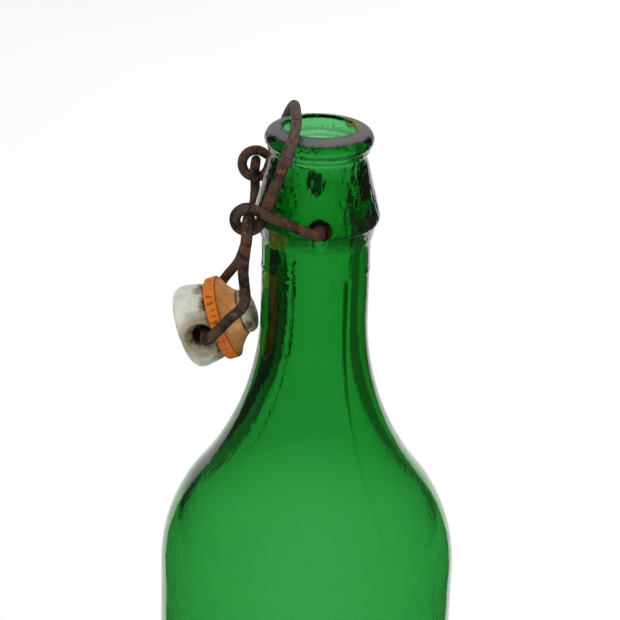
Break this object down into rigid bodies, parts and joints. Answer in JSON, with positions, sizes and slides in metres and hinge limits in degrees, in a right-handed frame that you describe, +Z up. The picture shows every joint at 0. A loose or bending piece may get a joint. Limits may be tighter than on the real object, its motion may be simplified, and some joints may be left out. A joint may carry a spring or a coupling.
{
  "type": "swing top bottle",
  "caption": "Green glass bottle with a wire swing top closure: lever wire, bail wire, porcelain stopper and rubber gasket, shown open.",
  "frame": {"origin": "centre of the base on the surface that the bottle stands on", "axes": "+Z up along the bottle's axis, Y along the closure's pivots, and the open stopper hangs on the -X side"},
  "size_m": [0.08, 0.08, 0.289],
  "materials": {
    "green_glass": "clear green moulded glass, scuffed at the lip and collar",
    "rusty_wire": "dark brown rust with redder patches",
    "porcelain": "glossy white glaze with dark grime in the hollows",
    "orange_rubber": "matt aged rubber"
  },
  "bodies": {
    "bottle": {"bottle": "green_glass"},
    "lever": {"lever_wire": "rusty_wire"},
    "bail": {"bail_wire": "rusty_wire"},
    "stopper": {"stopper": "porcelain", "gasket": "orange_rubber"}
  },
  "joints": [
    {"name": "lever_swing", "type": "hinge", "parent": "bottle", "child": "lever", "pos_m": [0, 0, 0.2611], "axis": [0, 1, 0], "range_deg": [0, 157]},
    {"name": "bail_swing", "type": "hinge", "parent": "lever", "child": "bail", "pos_m": [-0.017, 0, 0.26635], "axis": [0.0536, 0.9973, 0.0509], "range_deg": [0, 155]},
    {"name": "stopper_turn", "type": "hinge", "parent": "bail", "child": "stopper", "pos_m": [-0.0285, 0, 0.2293], "axis": [0, 1, 0], "range_deg": [-300, 0]}
  ]
}
